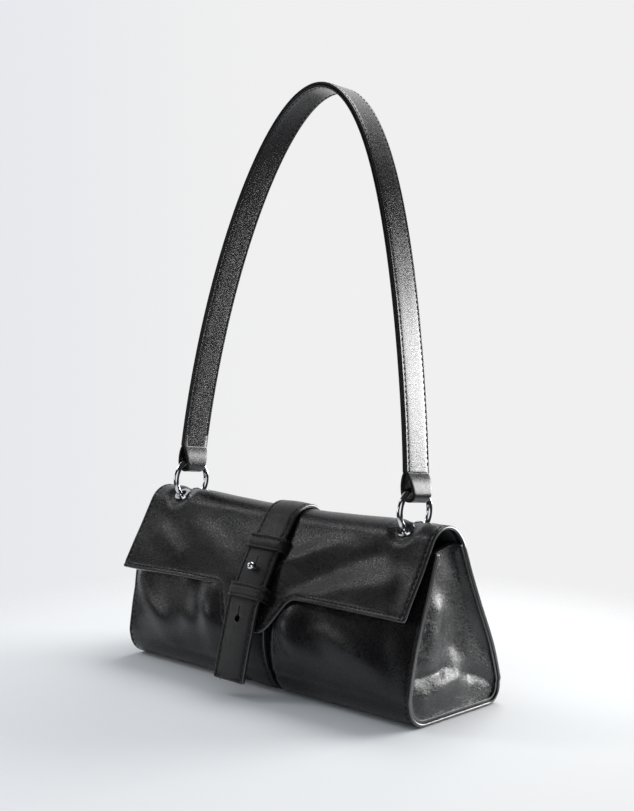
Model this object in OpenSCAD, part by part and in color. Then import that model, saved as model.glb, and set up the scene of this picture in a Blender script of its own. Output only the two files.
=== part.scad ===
/* [Body] */
// Width of the bag from end to end
body_w = 269; // [240:1:290]
// Height from the floor to the top of the ridge
body_h = 120.5; // [114:0.5:130]
// Depth of the bag at its base
body_d = 91; // [84:1:100]
// Thickness of the shell leather
leather_t = 2.6; // [2:0.1:3.2]
// How far the front wall's top edge, at the mouth, lies below the ridge's top
mouth_drop = 14.5; // [13:0.5:20]
// Radius of the base's front corner
front_r = 16; // [10:1:22]
// Radius of the base's back corner
back_r = 12; // [8:1:16]
// How far the filled front wall swells at mid width
front_belly = 10; // [4:1:10]
// How far the filled back wall swells at mid width
back_belly = 5; // [0:1:8]
// Share of the swell that reaches the ends
end_swell = 0.2; // [0:0.05:0.4]

/* [Gussets and lining] */
// How far the gussets lie in from the shell's raw edges
gusset_inset = 4; // [2:0.5:8]
// Thickness of the gusset leather
gusset_t = 1.8; // [1.2:0.1:2.4]
// Thickness of the lining cloth
lining_t = 0.8; // [0.5:0.1:1.2]
// Thickness of the stiffening board in the base
board_t = 1.4; // [1:0.1:2]
// Width of the inside slip pocket
pocket_w = 130; // [80:5:180]
// Thickness of the leather facings round the mouth
facing_t = 1; // [0.8:0.1:1.4]

/* [Ridge and flap] */
// Radius of the ridge that the leather folds over
ridge_r = 16; // [14:0.5:18]
// Place of the ridge, forward of the base's middle
ridge_forward = 8; // [4:0.5:12]
// How far the flap's ends lie in from the body's ends
flap_inset = 1.5; // [0.5:0.5:12]
// Slope of the flap's front leaf above the floor, degrees
flap_slope = 61; // [57:1:64]
// Length of the front leaf from the ridge to the hem
leaf_len = 52; // [44:1:60]
// How far the centre tongue hangs below the hem
tongue_drop = 25; // [16:1:30]
// Half the width of the tongue's foot
tongue_half_w = 21; // [18:1:28]
// Width of the curve from the tongue to the hem, on each side
tongue_run = 17; // [10:1:26]

/* [Belt] */
// Width of the belt round the bag
belt_w = 28; // [22:1:34]
// Thickness of the belt
belt_t = 3.2; // [2.4:0.1:4]
// Distance down the leaf to where the belt's free tail begins
tail_start = 59.7; // [59:0.1:66]
// Length of the free tail
tail_len = 52.5; // [40:0.5:56]
// How far the tail bends down from the leaf below the tongue, degrees
tail_bend = 18; // [4:0.5:24]
// Radius of the tail's bend
tail_bend_r = 50; // [30:1:60]
// Distance from the tail's start to its spare hole
spare_hole = 11.5; // [8:0.5:20]
// Radius of the belt's button holes
hole_r = 2.3; // [2.1:0.1:2.8]
// Length of the slit above each hole
slit_len = 6; // [3:0.5:8]

/* [Keepers and stud] */
// Length of each keeper along the belt
keeper_len = 9.8; // [7:0.2:11]
// Thickness of the keeper leather
keeper_t = 2; // [1.4:0.1:2.6]
// Distance down the leaf to the upper keeper's top edge
upper_keeper_at = 14.2; // [12:0.5:20]
// Distance down the leaf to the lower keeper's top edge
lower_keeper_at = 49.3; // [46:0.1:49.5]
// Distance down the leaf to the stud
stud_at = 37.5; // [34:0.5:42]
// Radius of the stud's neck
stud_neck_r = 2; // [1.6:0.1:2]
// Radius of the stud's ball
stud_ball_r = 2.9; // [2.6:0.1:3.6]
// Radius of the magnetic snap under the tongue
snap_r = 7; // [5:0.5:8]

/* [Rings and eyelets] */
// Radius of each ring to the middle of its wire
ring_r = 14.3; // [13.8:0.1:15]
// Radius of the ring's wire
wire_r = 2; // [1.6:0.1:2.1]
// Height of the rings' centre above the ridge's top
ring_rise = 6.8; // [6:0.1:7.4]
// Radius of the eyelets' bore
eyelet_bore_r = 3.6; // [3.6:0.1:3.9]
// Thickness of the eyelets' barrel wall
eyelet_wall = 0.6; // [0.4:0.1:0.8]
// Radius of the eyelets' flange
flange_r = 6.1; // [5.6:0.1:6.6]
// Thickness of the eyelets' flange
flange_t = 1; // [0.7:0.1:1.3]
// How deep the eyelets' flange sits in the ridge's crest
flange_sink = 0.9; // [0.8:0.1:1.2]
// Thickness of the eyelets' backing washer
washer_t = 0.8; // [0.5:0.1:1]

/* [Shoulder strap] */
// Width of the strap
strap_w = 22.6; // [20:0.2:26]
// Thickness of the strap's outer leather
strap_outer_t = 2.1; // [1.6:0.1:2.6]
// Thickness of the strap's inner leather
strap_inner_t = 1.9; // [1.6:0.1:2.6]
// How far the strap's arch lies in from the body's ends, at the rings' height
strap_inset = 27.5; // [20:0.5:36]
// Height of the strap's arch above the rings' centre
arch_rise = 276; // [180:1:320]
// Height of the strap's ends above the rings' centre
strap_end = 24; // [23:0.5:30]
// How far the strap leans back, degrees
strap_lean = 6.9; // [0:0.1:10]
// Thickness of the loop leather that holds each ring
loop_t = 1.8; // [1.4:0.1:2]
// Width of each loop where it leaves the strap
loop_top_w = 21; // [18:0.5:22]
// Width of each loop at its fold
loop_foot_w = 15; // [12:0.5:17]
// Height of each loop's fold above the rings' centre
loop_foot = 5.3; // [4.8:0.1:6]
// Outer radius of each loop's fold
loop_r = 5.8; // [5.4:0.1:6.2]

/* [Hidden] */

// Finishes
leather_colour = [0.07, 0.07, 0.075];
cloth_colour = [0.16, 0.15, 0.15];
board_colour = [0.45, 0.4, 0.33];
steel_colour = [0.82, 0.83, 0.85];

// Small sizes that belong to one piece
lining_edge = 4;
board_edge = 2;
slit_w = 0.8;
tail_corner_r = 2;
screw_r = 1.2;
screw_head_r = 3.4;
screw_head_t = 1.1;
screw_slot_w = 0.8;
screw_slot_h = 0.5;
screw_tip_gap = 0.4;
snap_t = 2.6;
snap_above_foot = 12;
loop_tab_t = 2.2;
loop_tab_len = 12;
loop_seam = 2.2;

// Clearances
sheet_gap = 0.3;
seat_gap = 0.15;
hinge_gap = 0.3;
keeper_gap = 0.4;
keeper_side_gap = 0.9;
flap_clear = 0.9;
bore_slack = 0.05;

// A direction in the side view, where the first value is Y and the second Z
function dir(a) = [cos(a), sin(a)];
function smooth(u) = let(v = min(max(u, 0), 1)) v * v * (3 - 2 * v);
function along(a, b, u) = a + (b - a) * u;
function reversed(list) = [for (i = [len(list) - 1:-1:0]) list[i]];
function sagitta(r, half_w) = r - sqrt(r * r - half_w * half_w);

// Ridge, hinge and leaf in the side view
ridge_c = [-ridge_forward, body_h - ridge_r];
leaf_n = dir(90 + flap_slope);
leaf_top = ridge_c + ridge_r * leaf_n;
back_c = [body_d / 2 - back_r, back_r];
front_c = [front_r - body_d / 2, front_r];
ridge_to_back = back_c - ridge_c;
back_a = atan2(ridge_to_back[1], ridge_to_back[0]) + acos((ridge_r - back_r) / norm(ridge_to_back));
back_n = dir(back_a);
hinge_face = ridge_c + ridge_r * back_n;
shell_end = hinge_face - hinge_gap * dir(back_a + 90);
belt_out = sheet_gap + belt_t;
stack_t = leather_t + lining_t;

// Mouth: the front wall's top edge lies just inside the flap
mouth_h = body_h - mouth_drop;
leaf_at_mouth = leaf_top[0] - (leaf_top[1] - mouth_h) / tan(flap_slope);
mouth_y = leaf_at_mouth + (stack_t + flap_clear) / sin(flap_slope);
mouth_p = [mouth_y, mouth_h];
to_mouth = mouth_p - front_c;
front_a = atan2(to_mouth[1], to_mouth[0]) + acos(front_r / norm(to_mouth));

// The shell's end profile from the mouth round the base to just short of the hinge.
// Each point is y, z, the angle of its outward normal, and whether it is on the back.
front_steps = 12;
front_arc_steps = 6;
base_steps = 4;
back_arc_steps = 5;
back_steps = 12;
front_foot = front_c + front_r * dir(front_a);
back_foot = back_c + back_r * back_n;
function station(p, a, back) = [p[0], p[1], a, back];
profile = concat(
    [for (i = [0:front_steps - 1]) station(along(mouth_p, front_foot, i / front_steps), front_a, 0)],
    [for (i = [0:front_arc_steps - 1])
        let (a = front_a + (270 - front_a) * i / front_arc_steps) station(front_c + front_r * dir(a), a, 0)],
    [for (i = [0:base_steps - 1])
        station(along([front_c[0], 0], [back_c[0], 0], i / base_steps), 270, 0.5)],
    [for (i = [0:back_arc_steps - 1])
        let (a = 270 + (90 + back_a) * i / back_arc_steps) station(back_c + back_r * dir(a), a, 1)],
    [for (i = [0:back_steps]) station(along(back_foot, shell_end, i / back_steps), back_a, 1)]
);
last_row = len(profile) - 1;

// Swell of the filled walls and the groove that the belt pulls in
belly_low = 14;
groove_fade = 25;
groove_run = 6;
groove_half_w = belt_w / 2 + sheet_gap;
function front_share(z) =
    z > mouth_h || z < belly_low ? 0 : sin(180 * pow((mouth_h - z) / (mouth_h - belly_low), 1.15));
function back_share(z) =
    z < belly_low || z > shell_end[1] ? 0 : sin(180 * (z - belly_low) / (shell_end[1] - belly_low));
function across(x) = end_swell + (1 - end_swell) * (1 - pow(min(abs(x) / (body_w / 2), 1), 2.6));
function groove(x, p) =
    belt_out * (1 - smooth((abs(x) - groove_half_w) / groove_run))
    * (p[3] == 1 ? smooth((shell_end[1] - p[1]) / groove_fade) : 1);
function swell(x, p) =
    across(x) * (p[3] == 0 ? front_belly * front_share(p[1])
        : p[3] == 1 ? back_belly * back_share(p[1]) : 0) - groove(x, p);
function skin(x, p, off, floor_z) =
    let (q = [p[0], p[1]] + (swell(x, p) + off) * dir(p[2])) [x, q[0], max(q[1], floor_z)];

// A closed sheet between two offsets of the shell's outer skin
module sheet(xs, rows, off_out, off_in, floor_out = -1, floor_in = -1) {
    n = len(rows);
    m = len(xs);
    far = n * m;
    points = concat(
        [for (x = xs) for (p = rows) skin(x, p, off_out, floor_out)],
        [for (x = xs) for (p = rows) skin(x, p, off_in, floor_in)]);
    outer = [for (i = [0:m - 2]) for (j = [0:n - 2])
        let (a = i * n + j, b = a + n) each [[a, b, b + 1], [a, b + 1, a + 1]]];
    inner = [for (f = outer) [f[0] + far, f[2] + far, f[1] + far]];
    ends = [for (j = [0:n - 2]) let (a = j, b = (m - 1) * n + j)
        each [[a, a + 1, a + 1 + far], [a, a + 1 + far, a + far],
            [b, b + 1 + far, b + 1], [b, b + far, b + 1 + far]]];
    rims = [for (i = [0:m - 2]) let (a = i * n, b = i * n + n - 1)
        each [[a, a + n + far, a + n], [a, a + far, a + n + far],
            [b, b + n, b + n + far], [b, b + n + far, b + far]]];
    polyhedron(points, concat(outer, inner, ends, rims), convexity = 6);
}

function both_sides(xs) = concat(-reversed(xs), [0], xs);
function rows_between(a, b) = [for (j = [a:b]) profile[j]];
function row_above(z, j = 0) = profile[j + 1][1] < z ? j : row_above(z, j + 1);

// Steps of the profile that the inner pieces cover
facing_steps = 2;
pocket_drop_steps = 3;
pocket_steps = 7;

// Stations across the bag: close together beside the belt's groove
shell_half_w = body_w / 2;
groove_out = groove_half_w + groove_run;
function stations(shares, end) = concat([groove_half_w], [for (u = shares) along(groove_out, end, u)], [end]);
groove_xs = [for (u = [1 / 3, 2 / 3]) groove_half_w + groove_run * u];
shell_xs = both_sides(concat([groove_half_w], groove_xs,
    [for (u = [0, 0.12, 0.3, 0.5, 0.7, 0.88, 1]) along(groove_out, shell_half_w, u)]));
gusset_out = shell_half_w - gusset_inset;
lining_half_w = gusset_out - gusset_t - sheet_gap;
lining_xs = both_sides(stations([0, 0.3, 0.65], lining_half_w));

// Layers inward from the shell's outer skin
lining_off = -leather_t - sheet_gap;
facing_off = lining_off - lining_t - seat_gap;
board_z = belt_out + leather_t + seat_gap;
lining_z = board_z + board_t + seat_gap;

module body_panel() {
    color(leather_colour) sheet(shell_xs, profile, 0, -leather_t);
}

// A flat panel across one end, inside a given offset of the shell
module end_panel(x_out, t, off, floor_z) {
    outline = [for (p = profile) let (q = skin(x_out, p, off, floor_z)) [q[1], q[2]]];
    translate([x_out - t, 0, 0]) rotate([90, 0, 90]) linear_extrude(t) polygon(outline);
}

module gusset(side) {
    color(leather_colour) mirror([side < 0 ? 1 : 0, 0, 0])
        end_panel(gusset_out, gusset_t, -leather_t - seat_gap, 0);
}

module gusset_left() { gusset(-1); }
module gusset_right() { gusset(1); }

module lining() {
    color(cloth_colour) sheet(lining_xs, profile, lining_off, lining_off - lining_t,
        lining_z, lining_z + lining_t);
}

module lining_end(side) {
    color(cloth_colour) mirror([side < 0 ? 1 : 0, 0, 0])
        end_panel(lining_half_w, lining_t, facing_off - facing_t - seat_gap, lining_z + lining_t + seat_gap);
}

module lining_end_left() { lining_end(-1); }
module lining_end_right() { lining_end(1); }

module base_board() {
    board_w = 2 * (gusset_out - gusset_t - board_edge);
    color(board_colour) translate([-board_w / 2, front_c[0], board_z])
        cube([board_w, back_c[0] - front_c[0], board_t]);
}

// The lining facings stop short of the end linings
facing_half_w = lining_half_w - lining_t - sheet_gap;
facing_xs = both_sides(stations([0, 0.5], facing_half_w));
module facing(first_row) {
    color(leather_colour) sheet(facing_xs, rows_between(first_row, first_row + facing_steps),
        facing_off, facing_off - facing_t);
}

module front_facing() { facing(0); }
module back_facing() { facing(last_row - facing_steps); }

module slip_pocket() {
    top_row = last_row - pocket_drop_steps;
    color(cloth_colour) sheet(both_sides(stations([0], pocket_w / 2)),
        rows_between(top_row - pocket_steps, top_row), facing_off, facing_off - lining_t);
}

// The belt starts on the front wall just below the stud's screw
function leaf_point(down, off) = leaf_top + off * leaf_n - down * dir(flap_slope);
belt_first_row = row_above(leaf_point(stud_at + 2 * screw_head_r, 0)[1]) + 2;
module belt_lower() {
    color(leather_colour) sheet(both_sides([belt_w / 2]), rows_between(belt_first_row, last_row),
        belt_out, sheet_gap);
}

// Puts its children on the leaf: X across, -Y down the leaf, Z off its outer face
module on_leaf() {
    translate([0, leaf_top[0], leaf_top[1]]) rotate([flap_slope, 0, 0]) children();
}

// A sheet over the ridge between two offsets, from the hinge to the leaf
module over_ridge(width, off_out, off_in) {
    reach = 2 * (ridge_r + off_out);
    end_a = 90 + flap_slope;
    rotate([90, 0, 90]) linear_extrude(width, center = true) translate(ridge_c) intersection() {
        difference() {
            circle(ridge_r + off_out, $fn = 96);
            circle(ridge_r + off_in, $fn = 96);
        }
        polygon([[0, 0], reach * dir(back_a), reach * dir((back_a + end_a) / 2), reach * dir(end_a)]);
    }
}

// The flap's hem: straight, with a tongue in the middle between two curves
flap_w = body_w - 2 * flap_inset;
hem_steps = 10;
function hem_curve(side) = [for (i = [0:hem_steps]) let (u = i / hem_steps)
    [side * (tongue_half_w + tongue_run * u), -leaf_len - tongue_drop * (1 - smooth(u))]];

// A sheet over the ridge and down the leaf, drawn in from the flap's edges
module flap_sheet(off_out, off_in, inset) {
    half_w = flap_w / 2 - inset;
    over_ridge(2 * half_w, off_out, off_in);
    on_leaf() translate([0, 0, off_in]) linear_extrude(off_out - off_in) polygon(concat(
        [[half_w, 0], [-half_w, 0], [-half_w, inset - leaf_len]],
        [for (p = reversed(hem_curve(-1))) p + [0, inset]],
        [for (p = hem_curve(1)) p + [0, inset]],
        [[half_w, inset - leaf_len]]));
}

// Eyelets stand along the ridge's radius. Each ring crosses the barrel's axis at a share of
// its height that leaves equal room at both ends.
ring_y = ridge_c[0];
ring_z = body_h + ring_rise;
ring_over = ring_z - ridge_c[1];
barrel_r = eyelet_bore_r + eyelet_wall;
flange_seat = ridge_r - flange_sink;
washer_seat = ridge_r - leather_t - sagitta(ridge_r - leather_t, flange_r + seat_gap);
cross_share = 0.3;
cross_r = along(washer_seat - washer_t, flange_seat + flange_t, cross_share);
eyelet_a = acos((cross_r * cross_r + ring_over * ring_over - ring_r * ring_r) / (2 * cross_r * ring_over));

// The strap's arch, a rounded hump: x = span cos(t), z = rise sin(t) ^ arch_power
arch_power = 1.38;
arch_steps = 56;
arch_half_span = body_w / 2 - strap_inset;
strap_end_a = asin(pow(strap_end / arch_rise, 1 / arch_power));
function arch_point(t) = [arch_half_span * cos(t), arch_rise * pow(sin(t), arch_power)];
function arch_slope(t) =
    [-arch_half_span * sin(t), arch_rise * arch_power * pow(sin(t), arch_power - 1) * cos(t)];
function arch_normal(t) = let (s = arch_slope(t)) [s[1], -s[0]] / norm(s);
function arch_line(off) = [for (i = [0:arch_steps])
    let (t = strap_end_a + (180 - 2 * strap_end_a) * i / arch_steps) arch_point(t) + off * arch_normal(t)];

// Each ring hangs below its strap end, in line with it
strap_end_p = arch_point(strap_end_a);
end_slope = arch_slope(strap_end_a);
end_lean = atan2(-end_slope[0], end_slope[1]);
ring_x = strap_end_p[0] + (strap_end - ring_r) * tan(end_lean);

module at_eyelet(side, front) {
    translate([side * ring_x, ridge_c[0], ridge_c[1]]) rotate([front * eyelet_a, 0, 0]) children();
}

module all_eyelets() {
    for (side = [-1, 1], front = [-1, 1]) at_eyelet(side, front) children();
}

module flap() {
    color(leather_colour) difference() {
        union() flap_sheet(0, -leather_t, 0);
        all_eyelets() {
            cylinder(r = barrel_r + seat_gap, h = 2 * ridge_r, $fn = 48);
            translate([0, 0, flange_seat]) cylinder(r = flange_r + seat_gap, h = ridge_r, $fn = 48);
        }
        on_leaf() translate([0, -stud_at, -2 * leather_t])
            cylinder(r = screw_r + seat_gap, h = 3 * leather_t, $fn = 32);
    }
}

module flap_lining() {
    top = -leather_t;
    color(cloth_colour) difference() {
        union() flap_sheet(top, top - lining_t, lining_edge);
        all_eyelets() {
            cylinder(r = barrel_r + seat_gap, h = 2 * ridge_r, $fn = 48);
            cylinder(r = flange_r + seat_gap, h = washer_seat, $fn = 48);
        }
        on_leaf() translate([0, -stud_at, top - 2 * lining_t])
            cylinder(r = screw_head_r + seat_gap, h = 4 * lining_t, $fn = 32);
    }
}

// A round hole with a slit above it, cut through the belt
module button_hole(at) {
    translate([0, -at, -belt_t]) {
        cylinder(r = hole_r, h = 3 * belt_t, $fn = 48);
        translate([-slit_w / 2, 0, 0]) cube([slit_w, hole_r + slit_len, 3 * belt_t]);
    }
}
module belt_upper() {
    color(leather_colour) difference() {
        union() {
            over_ridge(belt_w, belt_out, sheet_gap);
            on_leaf() translate([-belt_w / 2, -tail_start, sheet_gap]) cube([belt_w, tail_start, belt_t]);
        }
        on_leaf() button_hole(stud_at);
    }
}

// A bar along -Y with two rounded corners at its foot
module tail_outline(top, foot) {
    inner_w = belt_w - 2 * tail_corner_r;
    translate([-belt_w / 2, tail_corner_r - foot]) square([belt_w, foot - tail_corner_r - top]);
    translate([-inner_w / 2, -foot]) square([inner_w, 2 * tail_corner_r]);
    for (side = [-1, 1])
        translate([side * inner_w / 2, tail_corner_r - foot]) circle(tail_corner_r, $fn = 32);
}

// The tail's side view: flat over the tongue, then an arc, then straight.
// Each point is a distance down the leaf and a height off it.
tongue_foot = leaf_len + tongue_drop;
tail_arc_steps = 8;
tail_flat = tongue_foot - tail_start;
tail_arc = tail_bend_r * tail_bend * PI / 180;
tail_rest = tail_len - tail_flat - tail_arc;
function tail_turn(a, h) =
    [tongue_foot, sheet_gap - tail_bend_r] + (tail_bend_r + h) * [sin(a), cos(a)];
function tail_line(h) = concat(
    [[tail_start + hinge_gap, sheet_gap + h]],
    [for (i = [0:tail_arc_steps]) tail_turn(tail_bend * i / tail_arc_steps, h)],
    [tail_turn(tail_bend, h) + tail_rest * [cos(tail_bend), -sin(tail_bend)]]);
tail_foot = tail_line(belt_t)[tail_arc_steps + 2][0];

module belt_tail() {
    side_view = concat(tail_line(0), reversed(tail_line(belt_t)));
    color(leather_colour) on_leaf() difference() {
        intersection() {
            rotate([90, 0, -90]) linear_extrude(belt_w, center = true) polygon(side_view);
            translate([0, 0, -tail_len]) linear_extrude(2 * tail_len) tail_outline(tail_start, tail_foot);
        }
        button_hole(tail_start + spare_hole);
    }
}

// A bridge of leather over the belt, sewn to the leaf at both feet
module keeper(at) {
    inner_w = belt_w + 2 * keeper_side_gap;
    inner_h = belt_out + keeper_gap;
    color(leather_colour) on_leaf() translate([0, -at - keeper_len, 0]) difference() {
        translate([-inner_w / 2 - keeper_t, 0, 0])
            cube([inner_w + 2 * keeper_t, keeper_len, inner_h + keeper_t]);
        translate([-inner_w / 2, -1, -1]) cube([inner_w, keeper_len + 2, inner_h + 1]);
    }
}

module upper_keeper() { keeper(upper_keeper_at); }
module lower_keeper() { keeper(lower_keeper_at); }

// Stud: a shouldered neck on the leaf, a waist and a ball, screwed from behind
stud_neck_h = belt_out + sheet_gap;
ball_mid = stud_neck_h + sqrt(stud_ball_r * stud_ball_r - stud_neck_r * stud_neck_r);
module stud() {
    color(steel_colour) on_leaf() translate([0, -stud_at, 0]) difference() {
        union() {
            cylinder(r = stud_neck_r, h = ball_mid, $fn = 48);
            translate([0, 0, ball_mid]) sphere(stud_ball_r, $fn = 64);
        }
        translate([0, 0, -seat_gap]) cylinder(r = screw_r, h = stud_neck_h + seat_gap, $fn = 32);
    }
}

module stud_screw() {
    head_z = -leather_t - screw_head_t;
    color(steel_colour) on_leaf() translate([0, -stud_at, 0]) difference() {
        union() {
            translate([0, 0, head_z]) cylinder(r = screw_head_r, h = screw_head_t, $fn = 48);
            translate([0, 0, -leather_t])
                cylinder(r = screw_r, h = leather_t + stud_neck_h - screw_tip_gap, $fn = 32);
        }
        translate([-screw_head_r, -screw_slot_w / 2, head_z])
            cube([2 * screw_head_r, screw_slot_w, screw_slot_h]);
    }
}

module eyelet(side, front) {
    color(steel_colour) at_eyelet(side, front) difference() {
        union() {
            translate([0, 0, flange_seat])
                cylinder(r1 = flange_r, r2 = flange_r - flange_t / 2, h = flange_t, $fn = 48);
            translate([0, 0, washer_seat - washer_t])
                cylinder(r = barrel_r, h = flange_seat + flange_t / 2 - washer_seat + washer_t, $fn = 48);
        }
        cylinder(r = eyelet_bore_r, h = 2 * ridge_r, $fn = 48);
    }
}

module eyelet_front_left() { eyelet(-1, 1); }
module eyelet_front_right() { eyelet(1, 1); }
module eyelet_back_left() { eyelet(-1, -1); }
module eyelet_back_right() { eyelet(1, -1); }

module eyelet_washers() {
    color(steel_colour) all_eyelets() difference() {
        translate([0, 0, washer_seat - washer_t]) cylinder(r = flange_r, h = washer_t, $fn = 48);
        cylinder(r = barrel_r + bore_slack, h = 2 * ridge_r, $fn = 48);
    }
}

// Magnetic snap between the tongue and the belt on the front wall
snap_at = tongue_foot - snap_above_foot;
snap_face = -stack_t - snap_t;
module snap_stud() {
    color(steel_colour) on_leaf() translate([0, -snap_at, snap_face])
        cylinder(r = snap_r, h = snap_t, $fn = 48);
}

// The socket fills the space between the snap's face and the belt's front face
snap_row = row_above(leaf_point(snap_at, snap_face - sheet_gap)[1]);
belt_face = [for (j = [0, 1]) skin(0, profile[snap_row + j], belt_out, 0)];
belt_rise = belt_face[0] - belt_face[1];
module snap_socket() {
    reach = 6 * snap_r;
    color(steel_colour) difference() {
        on_leaf() translate([0, -snap_at, snap_face - sheet_gap - reach])
            cylinder(r = snap_r, h = reach, $fn = 48);
        translate(belt_face[1]) rotate([atan2(belt_rise[2], belt_rise[1]) - 90, 0, 0])
            translate([-reach, -seat_gap, -reach]) cube(2 * reach);
    }
}

// A ring of round wire, standing across the ridge
module ring(side) {
    color(steel_colour) translate([side * ring_x, ring_y, ring_z]) rotate([0, 90, 0])
        rotate_extrude($fn = 96) translate([ring_r, 0]) circle(wire_r, $fn = 32);
}

module ring_left() { ring(-1); }
module ring_right() { ring(1); }

// The strap stands in its own plane, which leans back about the rings' axis
module in_strap_plane() {
    translate([0, ring_y, ring_z]) rotate([-strap_lean, 0, 0]) children();
}

module across_strap(width) {
    rotate([90, 0, 0]) linear_extrude(width, center = true) children();
}

// Puts its children at a ring's top, in line with the strap's end
module at_loop(side) {
    mirror([side < 0 ? 1 : 0, 0, 0]) translate([ring_x, 0, ring_r]) rotate([0, -end_lean, 0]) children();
}

neck_len = (strap_end - ring_r) / cos(end_lean);
module loop_tab(gap) {
    translate([-loop_tab_t / 2 - gap, -loop_top_w / 2 - gap, neck_len - sheet_gap])
        cube([loop_tab_t + 2 * gap, loop_top_w + 2 * gap, loop_tab_len + gap]);
}

module strap_layer(off_in, off_out) {
    color(leather_colour) in_strap_plane() difference() {
        across_strap(strap_w) polygon(concat(arch_line(off_out), reversed(arch_line(off_in))));
        for (side = [-1, 1]) at_loop(side) loop_tab(seat_gap);
    }
}

module strap_outer() { strap_layer(0, strap_outer_t); }
module strap_inner() { strap_layer(-strap_inner_t, 0); }

// The point where a line from a point touches a circle, on one side
function touch(c, r, p, side) =
    let (v = p - c, a = atan2(v[1], v[0]) + side * acos(r / norm(v))) c + r * dir(a);

// A drop: round at its foot, drawn to a neck at its top
module drop(r, foot, top, neck) {
    c = [0, foot + r];
    translate(c) circle(r, $fn = 48);
    polygon([[-neck, top], [neck, top], touch(c, r, [neck, top], -1), touch(c, r, [-neck, top], 1)]);
}

// A folded leather loop: the ring's wire passes through its hollow
module loop(side) {
    foot = loop_foot - ring_r;
    reach = 4 * loop_r;
    color(leather_colour) in_strap_plane() at_loop(side) {
        intersection() {
            across_strap(2 * strap_w) difference() {
                drop(loop_r, foot, neck_len - seat_gap, loop_t);
                drop(loop_r - loop_t, foot + loop_t, neck_len - loop_seam, seat_gap);
            }
            rotate([90, 0, 90]) linear_extrude(reach, center = true)
                polygon([[-loop_foot_w / 2, foot - loop_t], [loop_foot_w / 2, foot - loop_t],
                    [loop_top_w / 2, neck_len], [-loop_top_w / 2, neck_len]]);
        }
        loop_tab(0);
    }
}

module loop_left() { loop(-1); }
module loop_right() { loop(1); }

body_panel();
gusset_left();
gusset_right();
lining();
lining_end_left();
lining_end_right();
base_board();
slip_pocket();
front_facing();
back_facing();
belt_lower();
snap_socket();
flap();
flap_lining();
belt_upper();
upper_keeper();
lower_keeper();
stud();
stud_screw();
eyelet_front_left();
eyelet_front_right();
eyelet_back_left();
eyelet_back_right();
eyelet_washers();
snap_stud();
belt_tail();
ring_left();
ring_right();
strap_outer();
strap_inner();
loop_left();
loop_right();
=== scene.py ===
import math
import bpy
import numpy as np
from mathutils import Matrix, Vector


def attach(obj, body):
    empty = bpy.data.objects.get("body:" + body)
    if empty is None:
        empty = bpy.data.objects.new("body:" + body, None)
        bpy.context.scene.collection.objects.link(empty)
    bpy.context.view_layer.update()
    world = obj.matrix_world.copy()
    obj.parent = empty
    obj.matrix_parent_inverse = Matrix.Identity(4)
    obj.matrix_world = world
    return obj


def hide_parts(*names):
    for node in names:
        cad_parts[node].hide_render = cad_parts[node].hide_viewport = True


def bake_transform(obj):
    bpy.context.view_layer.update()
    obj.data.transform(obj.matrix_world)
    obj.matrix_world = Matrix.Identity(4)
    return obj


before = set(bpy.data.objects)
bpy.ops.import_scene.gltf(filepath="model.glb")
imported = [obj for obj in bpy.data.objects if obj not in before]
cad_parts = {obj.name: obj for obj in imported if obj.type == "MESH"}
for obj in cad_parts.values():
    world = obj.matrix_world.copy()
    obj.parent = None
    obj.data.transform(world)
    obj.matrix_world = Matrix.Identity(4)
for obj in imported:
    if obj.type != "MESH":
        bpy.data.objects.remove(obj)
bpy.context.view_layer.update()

mm = 0.001
scene = bpy.context.scene


def smooth(share):
    share = np.clip(share, 0, 1)
    return share * share * (3 - 2 * share)


def bell(gap, width):
    return np.exp(-(gap / width) ** 2)


def compass(degrees):
    return np.cos(np.radians(degrees)), np.sin(np.radians(degrees))


print("camera, backdrop and lamps")
view = {"at": (0.68592, -0.6931, 0.27083), "turn": (85.09, 0, 44.14), "lens": 64.12, "sensor": 36}
camera = bpy.data.cameras.new("photo_camera")
camera.lens, camera.sensor_width = view["lens"], view["sensor"]
cameraObject = bpy.data.objects.new("photo_camera", camera)
cameraObject.location = view["at"]
cameraObject.rotation_euler = [math.radians(angle) for angle in view["turn"]]
scene.collection.objects.link(cameraObject)
scene.camera = cameraObject
scene.view_settings.view_transform = "Standard"


class Wire:
    def __init__(self, tree, socket=None):
        self.tree, self.socket = tree, socket

    def node(self, kind, settings=None, sockets=None, out=0):
        made = self.tree.nodes.new(kind)
        for key, value in (settings or {}).items():
            setattr(made, key, value)
        for key, value in (sockets or {}).items():
            if isinstance(value, Wire):
                self.tree.links.new(value.socket, made.inputs[key])
            else:
                made.inputs[key].default_value = value
        return Wire(self.tree, made.outputs[out] if made.outputs else None)

    def maths(self, operation, other=0.0, swapped=False):
        pair = (other, self) if swapped else (self, other)
        return self.node("ShaderNodeMath", {"operation": operation}, {0: pair[0], 1: pair[1]})

    def __add__(self, other):
        return self.maths("ADD", other)

    def __sub__(self, other):
        return self.maths("SUBTRACT", other)

    def __rsub__(self, other):
        return self.maths("SUBTRACT", other, True)

    def __mul__(self, other):
        return self.maths("MULTIPLY", other)

    __radd__, __rmul__ = __add__, __mul__

    def stepped(self, low, high):
        return self.node("ShaderNodeMapRange", {"interpolation_type": "SMOOTHSTEP"},
            {"Value": self, "From Min": low, "From Max": high})

    def along(self, way):
        return self.node("ShaderNodeVectorMath", {"operation": "DOT_PRODUCT"}, {0: self, 1: way}, out="Value")

    def noise(self, scale, detail):
        return self.node("ShaderNodeTexNoise", {}, {"Vector": self, "Scale": scale, "Detail": detail})

    def bumped(self, height):  # height in millimetres
        return self.node("ShaderNodeBump", {}, {"Height": self * (height * mm), "Distance": 1.0})

    def blended(self, first, second):
        return self.node("ShaderNodeMix", {"data_type": "RGBA"}, {"Factor": self, 6: first, 7: second}, out=2)


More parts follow.
